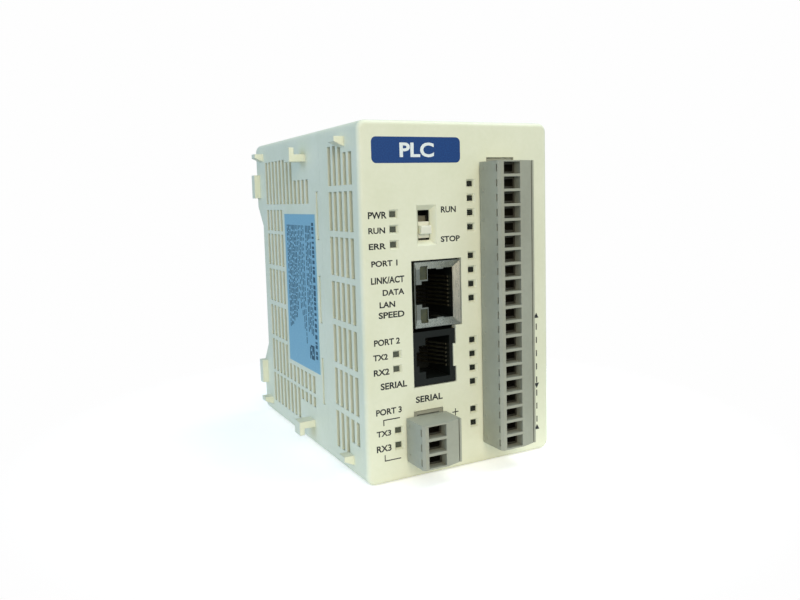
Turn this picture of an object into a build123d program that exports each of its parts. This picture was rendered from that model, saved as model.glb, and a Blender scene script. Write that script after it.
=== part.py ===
"""A compact PLC module: a snap-together case for a 35 mm rail, with two jacks and two plug-in terminals.

Frame: X runs across the front from left to right, Y runs from the front face to the rail, Z is up.
The origin is the middle of the base. Units are millimetres.
"""

from build123d import *
import os

os.makedirs("parts", exist_ok=True)

# --------------------------------------------------------------------------- driving dimensions
# Case, two shells that snap together behind the front vents.
case_w = 53.5
case_h = 85.0
case_d = 75.0
wall = 1.8
corner_r = 2.2
face_r = 1.1
cover_d = 23.0

# Clearances.
fit_gap = 0.15
slide_gap = 0.2
face_gap = 0.05

# Snap arms of the cover and the slits in the rear case that show their barbs.
slit_front = 24.6
slit_w = 1.4
slit_l = 12.4
slit_pitch = 21.7
arm_t = 1.1
arm_root = 5.0

# Side vents.
slot_w = 1.75
slot_h = 9.45
front_slot_y = 4.55
front_slot_pitch = 3.0
front_slot_columns = 5
slot_row_pitch = 10.95
vent_margin = 4.6
short_slot_cut = 1.9
long_slot_cut = 3.65
rear_slot_y = 65.5
rear_slot_pitch = 3.03
rear_slot_columns = 12
inner_rows = [(-27.6, -17.7), (-16.5, -7.0), (-5.6, 4.2), (5.6, 15.0), (16.0, 22.2)]
inner_columns = 5
low_row = (-37.5, -28.5)
label_row = (-27.5, -22.7)
top_row = (23.9, 36.5)
hook_row_columns = 4
hook_row_cut = 6.2

# Top and bottom vents.
lid_slot_w = 1.8
lid_slot_l = 11.0
lid_slot_pitch = 4.0
lid_slot_columns = 6

# Hooks, lugs and feet on the left side, and the windows on the right that take them.
hook_y = 32.5
hook_l = 4.0
hook_out = 4.5
hook_t = 1.9
hook_toe_t = 1.35
hook_toe_h = 1.8
hook_edge = 7.5
lug_l = 3.2
lug_out = 2.6
lug_h = 2.4
lug_edge = 3.1
front_lug_y = 7.4
rear_lug_y = 68.3
foot_y = 72.3
foot_out = 1.8
foot_h = 7.2
foot_edge = 9.4
window_gap = 0.8

# 35 mm rail seat in the back, its fixed hook and its sliding clip.
rail_h = 35.0
rail_low = 23.5
rail_t = 1.0
seat_d = 4.5
seat_margin = 1.2
seat_slope = 6.0
rail_hook_w = 26.0
rail_hook_t = 2.6
rail_hook_grip = 2.4
rail_play = 0.3
clip_w = 15.0
clip_wing = 2.0
clip_t = 2.4
clip_wing_t = 1.1
clip_grip = 2.3
clip_foot = 0.5
pull_slot_w = 7.0
pull_slot_h = 1.6

# Module-lock slides on the right, top and bottom.
lock_w = 8.0
lock_l = 14.0
lock_y = 35.5
lock_travel = 6.0
lock_depth = 2.0
lock_wing = 0.9
lock_floor = 1.1
lock_edge_r = 1.6
keeper_t = 1.0
keeper_l = 4.0
keeper_reach = 2.3
keeper_foot = 1.0
grip_count = 4
grip_pitch = 1.6

# Expansion port in the right side.
port_y = 56.0
port_w = 8.0
port_h = 31.0
port_rim = 1.6
port_cover_t = 0.8
port_pins = 13
port_pin_pitch = 2.0

# Circuit boards, each on edge from front to back.
board_t = 1.6
board_front = 3.0
board_end_gap = 0.4
guide_t = 1.2
guide_l = 3.6
cpu_board_x = 11.2
cpu_board_low = 6.0
cpu_board_h = 73.0
io_board_inset = 21.9
io_board_low = 4.0
io_board_h = 76.0
power_board_inset = 7.1
power_board_y = 26.0
power_board_low = 10.0
power_board_h = 65.0

# Lamp windows and light guides.
lamp_w = 1.6
lamp_h = 1.35
lamp_mouth_w = 2.4
lamp_mouth_h = 2.1
lamp_sink = 0.6
guide_bar_l = 6.0
guide_web_t = 1.1
lamp_body_l = 2.4
status_x = 8.6
status_lamps_z = [63.5, 60.0, 56.45, 30.6, 27.1, 12.3, 8.75]
io_lamp_inset = 23.5
io_lamp_low = 10.65
io_lamp_steps = [0, 1, 3, 4, 5, 6, 9, 10, 11, 12, 14, 15, 16, 17]

# Mode switch.
switch_x = 17.4
switch_z = 60.6
funnel_w = 5.45
funnel_h = 9.55
funnel_d = 1.4
switch_slot_w = 3.2
switch_slot_h = 7.15
knob_w = 2.9
knob_h = 3.9
knob_front = 1.5
handle_h = 2.0
handle_front = 0.1
switch_travel = 2.2
carriage_w = 4.9
carriage_h = 6.6
carriage_t = 2.2
switch_body_w = 8.4
switch_body_h = 11.0
switch_body_d = 5.7
switch_body_y = 2.3
switch_shell = 1.3

# Shielded network jack.
net_z = 44.05
net_w = 12.9
net_h = 15.8
net_d = 15.5
net_sheet = 0.3
net_front = 1.1
net_lip = 0.2
net_lip_left = 1.0
net_side_gap = 0.7
net_top_gap = 0.4
net_right_rim = 1.7
net_cavity_w = 7.0
net_cavity_h = 12.2
net_cavity_d = 12.6
net_step_w = 1.75
net_step_h = 6.4
net_notch_w = 1.6
net_notch_h = 4.8
net_ways = 8
net_window_w = 2.0
net_window_h = 3.3
net_window_l = 3.0

# Telephone-type serial jack.
serial_z = 28.65
serial_w = 11.7
serial_h = 13.1
serial_d = 13.2
serial_front = 0.3
serial_right_rim = 1.55
serial_cavity_w = 6.8
serial_cavity_h = 10.0
serial_cavity_d = 10.4
serial_step_w = 1.8
serial_step_h = 6.5
serial_notch_w = 0.7
serial_notch_h = 3.5
serial_ways = 6
jack_left = 13.1
jack_gap = 0.15
contact_pitch = 1.016
contact_w = 0.45
contact_t = 0.35
latch_tab_w = 0.8
latch_tab_h = 5.6

# Plug-in terminals. Depths are from the front face, widths from the plug's left side.
pole_pitch = 3.5
big_poles = 20
small_poles = 3
big_plug_inset = 21.0
big_plug_low = 5.3
small_plug_x = 10.5
small_plug_low = 4.6
plug_out = 8.0
plug_w = 10.95
plug_chamfer = 0.6
plug_slant_start = 6.6
plug_slant_drop = 0.95
plug_groove_x = 10.2
plug_groove_w = 0.25
plug_cover_gap = 0.3
header_x = 2.4
header_w = 7.8
header_wall = 0.8
header_lip = 0.9
header_d = 11.0
header_front = 0.35
header_back_t = 2.0
tongue_l = 7.9
cell_x = 1.45
cell_w = 4.75
cell_h = 2.85
cell_floor = 1.9
contact_x = 6.3
contact_tube_w = 2.4
contact_tube_h = 1.7
contact_bore = 1.1
pin_w = 0.9
pin_front = 1.2
pin_hole_r = 0.72
cage_l = 3.8
cage_t = 0.45
cage_gap = 0.12
screw_y = -4.2
screw_head_r = 1.15
screw_head_t = 1.2
screw_shank_r = 0.8
screw_sink = 0.6
screw_slot_w = 0.4
plug_slot_h = 1.7
plug_slot_w = 0.5
dot_r = 0.4
dot_out = 0.15
dot_depth = 1.5
opening_gap = 0.2

# Type label on the left side.
label_y = 27.2
label_w = 23.2
label_h = 42.4
label_mid = 42.4
label_t = 0.12


# --------------------------------------------------------------------------- placing
def from_left(x):
    """Frame X of a distance from the case's left side."""
    return x - case_w / 2


def from_face(y):
    """Frame Y of a depth behind the front face."""
    return y - case_d / 2


def box_between(x0, x1, y0, y1, z0, z1, mode=Mode.ADD):
    """A box between distances from the left side, the front face and the base."""
    middle = (from_left((x0 + x1) / 2), from_face((y0 + y1) / 2), (z0 + z1) / 2)
    with Locations(middle):
        Box(abs(x1 - x0), abs(y1 - y0), abs(z1 - z0), mode=mode)


def front_view(y):
    """The plane at a depth y, seen from the front: sketches are (X, Z), extrusions run backwards."""
    return Plane(origin=(0, from_face(y), 0), x_dir=(1, 0, 0), z_dir=(0, -1, 0))


def side_view(x):
    """The plane at a distance x from the left side: sketches are (Y, Z), extrusions run right."""
    return Plane.YZ.offset(from_left(x))


def save(builder, label):
    """Names a finished piece and writes its STEP file."""
    builder.part.label = label
    export_step(builder.part, "parts/" + label + ".step")


mid_z = case_h / 2
right = case_w
io_board_x = case_w - io_board_inset
power_board_x = case_w - power_board_inset
io_lamp_x = case_w - io_lamp_inset
big_plug_x = case_w - big_plug_inset
io_lamps_z = [io_lamp_low + pole_pitch * step for step in io_lamp_steps]
slit_z = [mid_z - 0.95 + slit_pitch * step for step in (-1, 0, 1)]
seat_y = case_d - seat_d
seat_low = rail_low - seat_margin
seat_high = rail_low + rail_h + seat_margin
board_end = seat_y - wall - board_end_gap
vent_rows = int((case_h - 2 * vent_margin + slot_row_pitch - slot_h) / slot_row_pitch)
front_rows_z = [mid_z + slot_row_pitch * (row - (vent_rows - 1) / 2) for row in range(vent_rows)]
big_plug_z = [big_plug_low + pole_pitch * (pole + 0.5) for pole in range(big_poles)]
small_plug_z = [small_plug_low + pole_pitch * (pole + 0.5) for pole in range(small_poles)]


def front_slot_span(column, row):
    """Bottom and top of one front vent slot: the two columns by the lugs are shorter at the ends."""
    bottom = front_rows_z[row] - slot_h / 2
    top = front_rows_z[row] + slot_h / 2
    if column < 2 and row == 0:
        bottom += long_slot_cut
    if column < 2 and row == vent_rows - 1:
        top -= short_slot_cut
    return bottom, top


def cut_front_vents():
    """Vent slots through both side walls of the front cover."""
    with BuildSketch(side_view(-1), mode=Mode.PRIVATE) as slots:
        for column in range(front_slot_columns):
            y = from_face(front_slot_y + front_slot_pitch * column)
            for row in range(vent_rows):
                bottom, top = front_slot_span(column, row)
                with Locations((y, (bottom + top) / 2)):
                    Rectangle(slot_w, top - bottom)
    extrude(slots.sketch, amount=case_w + 2, mode=Mode.SUBTRACT)


def wall_slot(y, bottom, top):
    """One slot of a side-wall sketch, between heights measured from the middle of the case."""
    with Locations((from_face(y), mid_z + (bottom + top) / 2)):
        Rectangle(slot_w, top - bottom)


def lug_profile(z):
    """A lug seen from the front: flat on top, sloping underneath."""
    root = from_left(0)
    with BuildLine() as outline:
        Polyline(
            (root + face_gap, z),
            (root + face_gap, z + lug_h),
            (root - lug_out, z + lug_h),
            (root - lug_out, z + lug_h / 2),
            close=True,
        )
    make_face(outline.edges())


def add_lugs(y):
    """The upper and lower lug at one depth on the left side."""
    with BuildSketch(front_view(y), mode=Mode.PRIVATE) as lugs:
        lug_profile(lug_edge)
        lug_profile(case_h - lug_edge - lug_h)
    extrude(lugs.sketch, amount=-lug_l)


def cut_lug_windows(y):
    """Windows in the right wall that take the next module's lugs."""
    for z in (lug_edge, case_h - lug_edge - lug_h):
        box_between(
            right - wall - 1, right + 1, y - window_gap, y + lug_l + window_gap,
            z - window_gap, z + lug_h + window_gap, Mode.SUBTRACT,
        )


# --------------------------------------------------------------------------- front cover
net_left = jack_left + net_side_gap
net_opening = (jack_left - jack_gap, net_left + net_w + jack_gap)
serial_right = jack_left + serial_w + jack_gap
with BuildPart() as front_cover:
    with BuildSketch(front_view(0)):
        with Locations((0, mid_z)):
            RectangleRounded(case_w, case_h, corner_r)
    extrude(amount=-cover_d)
    fillet(front_cover.faces().sort_by(Axis.Y)[0].edges(), face_r)
    box_between(wall, right - wall, wall, cover_d + 1, wall, case_h - wall, Mode.SUBTRACT)
    cut_front_vents()
    add_lugs(front_lug_y)
    cut_lug_windows(front_lug_y)

    # Snap arms inside each side wall, with a barb that fills its slit.
    for z in slit_z:
        low = z - slit_l / 2 + fit_gap
        high = z + slit_l / 2 - fit_gap
        arm_end = slit_front + slit_w + arm_t
        for side in (0, 1):
            inner = wall if side == 0 else right - wall
            step = 1 if side == 0 else -1
            thick = inner + step * (fit_gap + arm_t)
            box_between(inner, thick, cover_d - arm_root, cover_d, low, high)
            box_between(inner + step * fit_gap, thick, cover_d - arm_root, arm_end, low, high)
            barb = inner - step * (wall - 2 * fit_gap)
            box_between(
                barb, inner + step * fit_gap, slit_front + fit_gap, slit_front + slit_w - fit_gap, low, high
            )

    # Ribs that hold the front edges of the two long boards.
    for board_x, low in ((cpu_board_x, 72.0), (io_board_x, io_board_low + io_board_h - 2.6)):
        box_between(board_x - fit_gap - guide_t, board_x - fit_gap, wall, board_front + guide_l, low, low + 2.2)
        after = board_x + board_t + fit_gap
        box_between(after, after + guide_t, wall, board_front + guide_l, low, low + 2.2)

    # Lamp windows: a small funnel down to each lens.
    lamp_places = [(status_x, z) for z in status_lamps_z] + [(io_lamp_x, z) for z in io_lamps_z]
    for x, z in lamp_places:
        with BuildSketch(front_view(0), mode=Mode.PRIVATE) as lamp_mouth:
            with Locations((from_left(x), z)):
                Rectangle(lamp_mouth_w, lamp_mouth_h)
        with BuildSketch(front_view(lamp_sink), mode=Mode.PRIVATE) as lamp_throat:
            with Locations((from_left(x), z)):
                Rectangle(lamp_w, lamp_h)
        loft([lamp_mouth.sketch.face(), lamp_throat.sketch.face()], mode=Mode.SUBTRACT)
        box_between(
            x - lamp_w / 2, x + lamp_w / 2, lamp_sink - 0.1, wall + 0.5,
            z - lamp_h / 2, z + lamp_h / 2, Mode.SUBTRACT,
        )

    # Mode switch: a funnel down to the knob's slot.
    with BuildSketch(front_view(0), mode=Mode.PRIVATE) as funnel_mouth:
        with Locations((from_left(switch_x), switch_z)):
            Rectangle(funnel_w, funnel_h)
    with BuildSketch(front_view(funnel_d), mode=Mode.PRIVATE) as funnel_throat:
        with Locations((from_left(switch_x), switch_z)):
            Rectangle(switch_slot_w, switch_slot_h)
    loft([funnel_mouth.sketch.face(), funnel_throat.sketch.face()], mode=Mode.SUBTRACT)
    box_between(
        switch_x - switch_slot_w / 2, switch_x + switch_slot_w / 2, funnel_d - 0.1, wall + 0.5,
        switch_z - switch_slot_h / 2, switch_z + switch_slot_h / 2, Mode.SUBTRACT,
    )

    # One cut-out for both jacks, stepped in at the smaller one, with a small tab beside it.
    net_top = net_z + net_h / 2 + net_top_gap
    net_bottom = net_z - net_h / 2 - jack_gap
    box_between(*net_opening, -1, wall + 1, net_bottom, net_top, Mode.SUBTRACT)
    serial_bottom = serial_z - serial_h / 2 - jack_gap
    box_between(net_opening[0], serial_right, -1, wall + 1, serial_bottom, net_bottom + 0.1, Mode.SUBTRACT)
    box_between(
        serial_right - latch_tab_w, serial_right + face_gap, 0, wall,
        serial_z - latch_tab_h / 2, serial_z + latch_tab_h / 2,
    )

    # Openings for the two terminal headers.
    for plug_x, plug_low, poles in (
        (big_plug_x, big_plug_low, big_poles), (small_plug_x, small_plug_low, small_poles),
    ):
        box_between(
            plug_x + header_x - opening_gap, plug_x + header_x + header_w + opening_gap, -1, wall + 1,
            plug_low - header_lip - opening_gap,
            plug_low + poles * pole_pitch + header_lip + opening_gap, Mode.SUBTRACT,
        )
save(front_cover, "front_cover")

# --------------------------------------------------------------------------- rear case
clip_middle = case_w / 2
clip_channel_y = case_d - clip_t - slide_gap - 0.1
clip_pad = 1.6
rail_top = rail_low + rail_h
rail_hook_y = seat_y + rail_t + rail_play
lock_mid_x = right - lock_w / 2
lock_start = lock_y - slide_gap
keeper_y = hook_y + lock_travel
lock_slot_x = right - wall - keeper_t - 2 * slide_gap


def back_profile(inset):
    """The case from the side, from the seam to the back, with the rail seat; inset gives the inside."""
    end = case_d - inset
    seat = seat_y - inset
    front = cover_d - (1 if inset else 0)
    slope = inset * 0.4
    with BuildLine() as outline:
        Polyline(
            (from_face(front), inset),
            (from_face(end), inset),
            (from_face(end), seat_low - seat_slope - slope),
            (from_face(seat), seat_low - slope),
            (from_face(seat), seat_high + slope),
            (from_face(end), seat_high + seat_slope + slope),
            (from_face(end), case_h - inset),
            (from_face(front), case_h - inset),
            close=True,
        )
    make_face(outline.edges())


with BuildPart() as rear_case:
    with BuildSketch(side_view(0)):
        back_profile(0)
    extrude(amount=case_w)
    with BuildSketch(front_view(cover_d - 1)):
        with Locations((0, mid_z)):
            RectangleRounded(case_w, case_h, corner_r)
    extrude(amount=-case_d, mode=Mode.INTERSECT)
    with BuildSketch(side_view(wall)):
        back_profile(wall)
    extrude(amount=case_w - 2 * wall, mode=Mode.SUBTRACT)

    # Left side vents.
    with BuildSketch(side_view(-1)):
        for column in range(rear_slot_columns):
            y = rear_slot_y - rear_slot_pitch * column
            by_hook = column >= rear_slot_columns - hook_row_columns
            wall_slot(y, top_row[0], top_row[1] - (hook_row_cut if by_hook else 0))
            wall_slot(y, low_row[0] + (hook_row_cut if by_hook else 0), low_row[1])
            if column < inner_columns:
                for bottom, top in inner_rows:
                    wall_slot(y, bottom, top)
            else:
                wall_slot(y, *label_row)
    extrude(amount=wall + 2, mode=Mode.SUBTRACT)

    # Right side vents, clear of the expansion port.
    with BuildSketch(side_view(right - wall - 1)):
        for column in range(6):
            y = rear_slot_y - rear_slot_pitch * (column + rear_slot_columns - 6)
            for bottom, top in inner_rows:
                wall_slot(y, bottom, top)
    extrude(amount=wall + 2, mode=Mode.SUBTRACT)

    # Top and bottom vents.
    with BuildSketch(Plane.XY.offset(-1)):
        for y in (case_d * 0.6, case_d * 0.6 + lid_slot_l + wall):
            with Locations((0, from_face(y))):
                with GridLocations(lid_slot_pitch, 0, lid_slot_columns, 1):
                    Rectangle(lid_slot_w, lid_slot_l)
    extrude(amount=case_h + 2, mode=Mode.SUBTRACT)

    # Slits for the cover's barbs.
    with BuildSketch(side_view(-1)):
        with Locations(*[(from_face(slit_front + slit_w / 2), z) for z in slit_z]):
            Rectangle(slit_w, slit_l)
    extrude(amount=case_w + 2, mode=Mode.SUBTRACT)

    # Hooks on the left: an arm with a toe, turned up at the top and down at the bottom.
    for z, toe in ((case_h - hook_edge, 1), (hook_edge, -1)):
        box_between(-hook_out, face_gap, hook_y, hook_y + hook_l, z, z + toe * hook_t)
        toe_end = z + toe * (hook_t + hook_toe_h)
        box_between(-hook_out, hook_toe_t - hook_out, hook_y, hook_y + hook_l, z, toe_end)
        box_between(
            right - wall - 1, right + 1, hook_y - window_gap, hook_y + hook_l + window_gap,
            z - toe * window_gap, toe_end + toe * face_gap, Mode.SUBTRACT,
        )
    add_lugs(rear_lug_y)
    cut_lug_windows(rear_lug_y)
    for z in (foot_edge, case_h - foot_edge - foot_h):
        box_between(-foot_out, face_gap, foot_y, case_d, z, z + foot_h)

    # Fixed hook over the rail's upper edge.
    hook_left = clip_middle - rail_hook_w / 2
    hook_right = clip_middle + rail_hook_w / 2
    hook_base = rail_top + rail_play
    box_between(hook_left, hook_right, seat_y - wall, case_d - 0.4, hook_base, hook_base + rail_hook_t)
    box_between(hook_left, hook_right, rail_hook_y, case_d - 0.4, rail_top - rail_hook_grip, hook_base)

    # Channel for the rail clip, undercut for its wings, in a thickened back wall.
    pad_top = seat_low - seat_slope / 2
    half_pad = clip_w / 2 + clip_wing + clip_pad
    pad_y = clip_channel_y - clip_pad
    box_between(clip_middle - half_pad, clip_middle + half_pad, pad_y, case_d - wall, wall, pad_top)
    half_wing = clip_w / 2 + clip_wing + slide_gap
    half_body = clip_w / 2 + slide_gap
    wing_y = clip_channel_y + clip_wing_t + 2 * slide_gap
    box_between(
        clip_middle - half_wing, clip_middle + half_wing, clip_channel_y, wing_y, -1, seat_low + 1,
        Mode.SUBTRACT,
    )
    box_between(
        clip_middle - half_body, clip_middle + half_body, clip_channel_y, case_d + 1, -1, seat_low + 1,
        Mode.SUBTRACT,
    )

    # Channels for the lock slides, top and bottom, with a floor inside and a slot for the keeper.
    for z, inward in ((case_h, -1), (0, 1)):
        depth = z + inward * lock_depth
        floor = depth + inward * lock_floor
        lock_end = lock_y + lock_l + slide_gap
        box_between(
            right - lock_w - wall - lock_wing, right - wall / 2, lock_start - lock_travel - wall,
            lock_end + wall, z + inward * wall / 2, floor,
        )
        box_between(
            right - lock_w - slide_gap, right + 1, lock_start - lock_travel, lock_end,
            z - inward, depth, Mode.SUBTRACT,
        )
        box_between(
            right - lock_w - lock_wing - slide_gap, right + 1, lock_start - lock_travel, lock_end,
            z + inward * lock_depth / 2, depth, Mode.SUBTRACT,
        )
        box_between(
            lock_slot_x, right - wall, hook_y - 2 * slide_gap, keeper_y + keeper_l + slide_gap,
            depth - inward, floor + inward, Mode.SUBTRACT,
        )

    # Expansion port with a shallow seat for its cover.
    box_between(
        right - wall - 1, right + 1, port_y - port_w / 2, port_y + port_w / 2,
        mid_z - port_h / 2, mid_z + port_h / 2, Mode.SUBTRACT,
    )
    box_between(
        right - port_cover_t - face_gap, right + 1, port_y - port_w / 2 - port_rim,
        port_y + port_w / 2 + port_rim, mid_z - port_h / 2 - port_rim, mid_z + port_h / 2 + port_rim,
        Mode.SUBTRACT,
    )

    # Grooves that hold the back edges of the three boards.
    for board_x in (cpu_board_x, io_board_x, power_board_x):
        for edge in (board_x - fit_gap - guide_t, board_x + board_t + fit_gap):
            box_between(
                edge, edge + guide_t, board_end - guide_l, seat_y - wall / 2,
                seat_low + 3, seat_high - 3,
            )
save(rear_case, "rear_case")

# --------------------------------------------------------------------------- rail clip
with BuildPart() as din_clip:
    clip_y = clip_channel_y + slide_gap
    clip_top = rail_low + clip_grip
    box_between(
        clip_middle - clip_w / 2, clip_middle + clip_w / 2, clip_y, clip_y + clip_t, clip_foot, clip_top
    )
    wing_half = clip_w / 2 + clip_wing
    box_between(
        clip_middle - wing_half, clip_middle + wing_half, clip_y, clip_y + clip_wing_t,
        clip_foot + 2, seat_low - seat_slope,
    )
    box_between(
        clip_middle - pull_slot_w / 2, clip_middle + pull_slot_w / 2, clip_y - 1, clip_y + clip_t + 1,
        clip_foot + 1.2, clip_foot + 1.2 + pull_slot_h, Mode.SUBTRACT,
    )
save(din_clip, "din_clip")


# --------------------------------------------------------------------------- module-lock slides
def lock_slide(z, inward):
    """A flat slide with a wing under the case's lip and a keeper through the slot in its floor."""
    outer = z + inward * 0.1
    inner = z + inward * (lock_depth - face_gap * 2)
    x0 = right - 0.1 - lock_w
    with BuildSketch(front_view(lock_y), mode=Mode.PRIVATE) as section:
        with Locations((from_left(right - 0.1 - lock_w / 2), (outer + inner) / 2)):
            Rectangle(lock_w, abs(outer - inner))
        outside = section.vertices().group_by(Axis.X)[-1].sort_by(Axis.Y)
        fillet(outside[-1 if inward < 0 else 0], lock_edge_r)
    extrude(section.sketch, amount=-lock_l)
    box_between(
        x0 - lock_wing, x0, lock_y, lock_y + lock_l, z + inward * (lock_depth / 2 + 0.1), inner
    )
    keeper_x = lock_slot_x + slide_gap
    keeper_end = z + inward * (lock_depth + lock_floor + keeper_reach)
    box_between(keeper_x, keeper_x + keeper_t, keeper_y, keeper_y + keeper_l, inner, keeper_end)
    foot = z + inward * (lock_depth + lock_floor + 0.15)
    box_between(
        keeper_x - keeper_foot, keeper_x, keeper_y, keeper_y + keeper_l, foot, foot + inward * 0.7
    )
    for groove in range(grip_count):
        y = lock_y + lock_l - 2 - grip_pitch * groove
        box_between(x0 + 1.5, right + 1, y - 0.4, y, z - inward, z + inward * 0.6, Mode.SUBTRACT)


with BuildPart() as upper_lock:
    lock_slide(case_h, -1)
save(upper_lock, "upper_lock")

with BuildPart() as lower_lock:
    lock_slide(0, 1)
save(lower_lock, "lower_lock")

# --------------------------------------------------------------------------- expansion port
with BuildPart() as expansion_cover:
    rim = port_rim - fit_gap
    box_between(
        right - port_cover_t, right, port_y - port_w / 2 - rim, port_y + port_w / 2 + rim,
        mid_z - port_h / 2 - rim, mid_z + port_h / 2 + rim,
    )
    leg = port_h / 2 - fit_gap
    for z in (mid_z - leg, mid_z + leg - 1):
        box_between(
            right - wall - 0.6, right - port_cover_t, port_y - 1.5, port_y + 1.5, z, z + 1
        )
save(expansion_cover, "expansion_cover")

socket_x = power_board_x + board_t + face_gap
socket_end = right - wall - 0.8
socket_half_y = port_w / 2 - 1.2
socket_half_z = port_h / 2 - 1.6
pin_rows = [port_y - port_pin_pitch / 2, port_y + port_pin_pitch / 2]
pin_steps = [mid_z + port_pin_pitch * (step - (port_pins - 1) / 2) for step in range(port_pins)]
socket_bore = 1.0
socket_pin = 0.7
with BuildPart() as expansion_connector:
    box_between(
        socket_x, socket_end, port_y - socket_half_y, port_y + socket_half_y,
        mid_z - socket_half_z, mid_z + socket_half_z,
    )
    with BuildSketch(side_view(socket_end)):
        with Locations(*[(from_face(y), z) for y in pin_rows for z in pin_steps]):
            Rectangle(socket_bore, socket_bore)
    extrude(amount=-socket_end + socket_x + 0.5, mode=Mode.SUBTRACT)
save(expansion_connector, "expansion_connector")

with BuildPart() as expansion_contacts:
    with BuildSketch(side_view(socket_x + 0.5 + face_gap)):
        with Locations(*[(from_face(y), z) for y in pin_rows for z in pin_steps]):
            Rectangle(socket_pin, socket_pin)
    extrude(amount=socket_end - socket_x - 1.1)
save(expansion_contacts, "expansion_contacts")

# --------------------------------------------------------------------------- label
with BuildPart() as side_label:
    box_between(
        -label_t, 0, label_y, label_y + label_w, label_mid - label_h / 2, label_mid + label_h / 2
    )
save(side_label, "side_label")


# --------------------------------------------------------------------------- boards
def header_holes(board_x, plug_low, poles):
    """Holes through a board for the legs of one terminal header."""
    for pole in range(poles):
        z = plug_low + pole_pitch * (pole + 0.5)
        with Locations(Location((from_left(board_x), from_face(header_d - header_back_t / 2), z), (0, 90, 0))):
            Cylinder(pin_hole_r, 4 * board_t, mode=Mode.SUBTRACT)


with BuildPart() as cpu_board:
    box_between(
        cpu_board_x, cpu_board_x + board_t, board_front, board_end, cpu_board_low, cpu_board_low + cpu_board_h
    )
    header_holes(cpu_board_x, small_plug_low, small_poles)
save(cpu_board, "cpu_board")

with BuildPart() as io_board:
    box_between(
        io_board_x, io_board_x + board_t, board_front, board_end, io_board_low, io_board_low + io_board_h
    )
    header_holes(io_board_x, big_plug_low, big_poles)
save(io_board, "io_board")

with BuildPart() as power_board:
    box_between(
        power_board_x, power_board_x + board_t, power_board_y, board_end,
        power_board_low, power_board_low + power_board_h,
    )
save(power_board, "power_board")

cpu_face = cpu_board_x + board_t + face_gap
io_face = io_board_x + board_t + face_gap
link_y = board_end - guide_l - 6
with BuildPart() as cpu_io_link:
    box_between(cpu_face, io_board_x - face_gap, link_y, link_y + 4, mid_z + 14, mid_z + 34)
save(cpu_io_link, "cpu_io_link")

with BuildPart() as io_power_link:
    box_between(io_face, power_board_x - face_gap, link_y, link_y + 4, mid_z - 30, mid_z - 6)
save(io_power_link, "io_power_link")


# --------------------------------------------------------------------------- parts on the boards
def chip(name, face, y, z, width, height, thick):
    """A flat chip package whose back lies on a board face; a negative thickness grows to the left."""
    with BuildPart() as package:
        box_between(face, face + thick, y, y + width, z, z + height)
        outer = package.faces().sort_by(Axis.X)[-1 if thick > 0 else 0]
        chamfer(outer.edges(), 0.15)
    save(package, name)


chip_y = net_front + net_d + 1.0
chip("ethernet_transformer", cpu_face, chip_y, net_z - 8, 12, 16, 6)
chip("ethernet_chip", cpu_face, chip_y, net_z + 11, 7, 7, 1.0)
chip("main_processor", cpu_face, chip_y + 14, mid_z - 11, 20, 20, 1.5)
chip("memory_chip", cpu_face, chip_y + 16, mid_z + 12, 8, 12, 1.2)
chip("analog_chip", io_board_x - face_gap, 22, mid_z + 12, 10, 7, -1.4)
chip("output_driver", io_board_x - face_gap, 22, mid_z - 24, 8, 10, -1.6)

with BuildPart() as backup_capacitor:
    cap_spot = Location((from_left(cpu_face + 2.7), from_face(chip_y + 10), 18), (0, 90, 0))
    with Locations(cap_spot):
        Cylinder(6.0, 5.4)
save(backup_capacitor, "backup_capacitor")

relay_size = (power_board_x - io_face - 0.6, 20.0, 7.2)
relay_pitch = 8.6
with BuildPart() as relays:
    for place in range(4):
        z = io_board_low + 5 + relay_pitch * place
        box_between(io_face, io_face + relay_size[0], 24, 24 + relay_size[1], z, z + relay_size[2])
save(relays, "relays")

power_face = power_board_x - face_gap
with BuildPart() as power_inductor:
    box_between(power_face - 6.5, power_face, 48, 58, mid_z + 2, mid_z + 12)
save(power_inductor, "power_inductor")

with BuildPart() as filter_capacitors:
    for y, z in ((32, mid_z + 9), (43, mid_z + 9), (32, mid_z + 20)):
        with Locations(Location((from_left(power_face - 5.5), from_face(y), z), (0, 90, 0))):
            Cylinder(4.0, 11.0)
save(filter_capacitors, "filter_capacitors")


# --------------------------------------------------------------------------- lamps and light guides
def light_guide(x, heights):
    """Bars that fill the lamp windows, joined by a web against the inside of the cover."""
    bar_w = lamp_w - fit_gap
    bar_h = lamp_h - fit_gap
    for z in heights:
        box_between(
            x - bar_w / 2, x + bar_w / 2, lamp_sink, lamp_sink + guide_bar_l, z - bar_h / 2, z + bar_h / 2
        )
    box_between(
        x - lamp_w / 2, x + lamp_w / 2, wall + face_gap, wall + face_gap + guide_web_t,
        min(heights) - lamp_h, max(heights) + lamp_h,
    )


def lamp_bodies(x, board_x, heights):
    """Side-looking lamps on a board's left face, each behind its guide."""
    start = lamp_sink + guide_bar_l + 2 * face_gap
    for z in heights:
        box_between(x - lamp_w / 2, board_x - face_gap, start, start + lamp_body_l, z - 0.9, z + 0.9)


with BuildPart() as status_light_guide:
    light_guide(status_x, status_lamps_z)
save(status_light_guide, "status_light_guide")

with BuildPart() as io_light_guide:
    light_guide(io_lamp_x, io_lamps_z)
save(io_light_guide, "io_light_guide")

with BuildPart() as status_lamps:
    lamp_bodies(status_x, cpu_board_x, status_lamps_z)
save(status_lamps, "status_lamps")

with BuildPart() as io_lamps:
    lamp_bodies(io_lamp_x, io_board_x, io_lamps_z)
save(io_lamps, "io_lamps")

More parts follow.
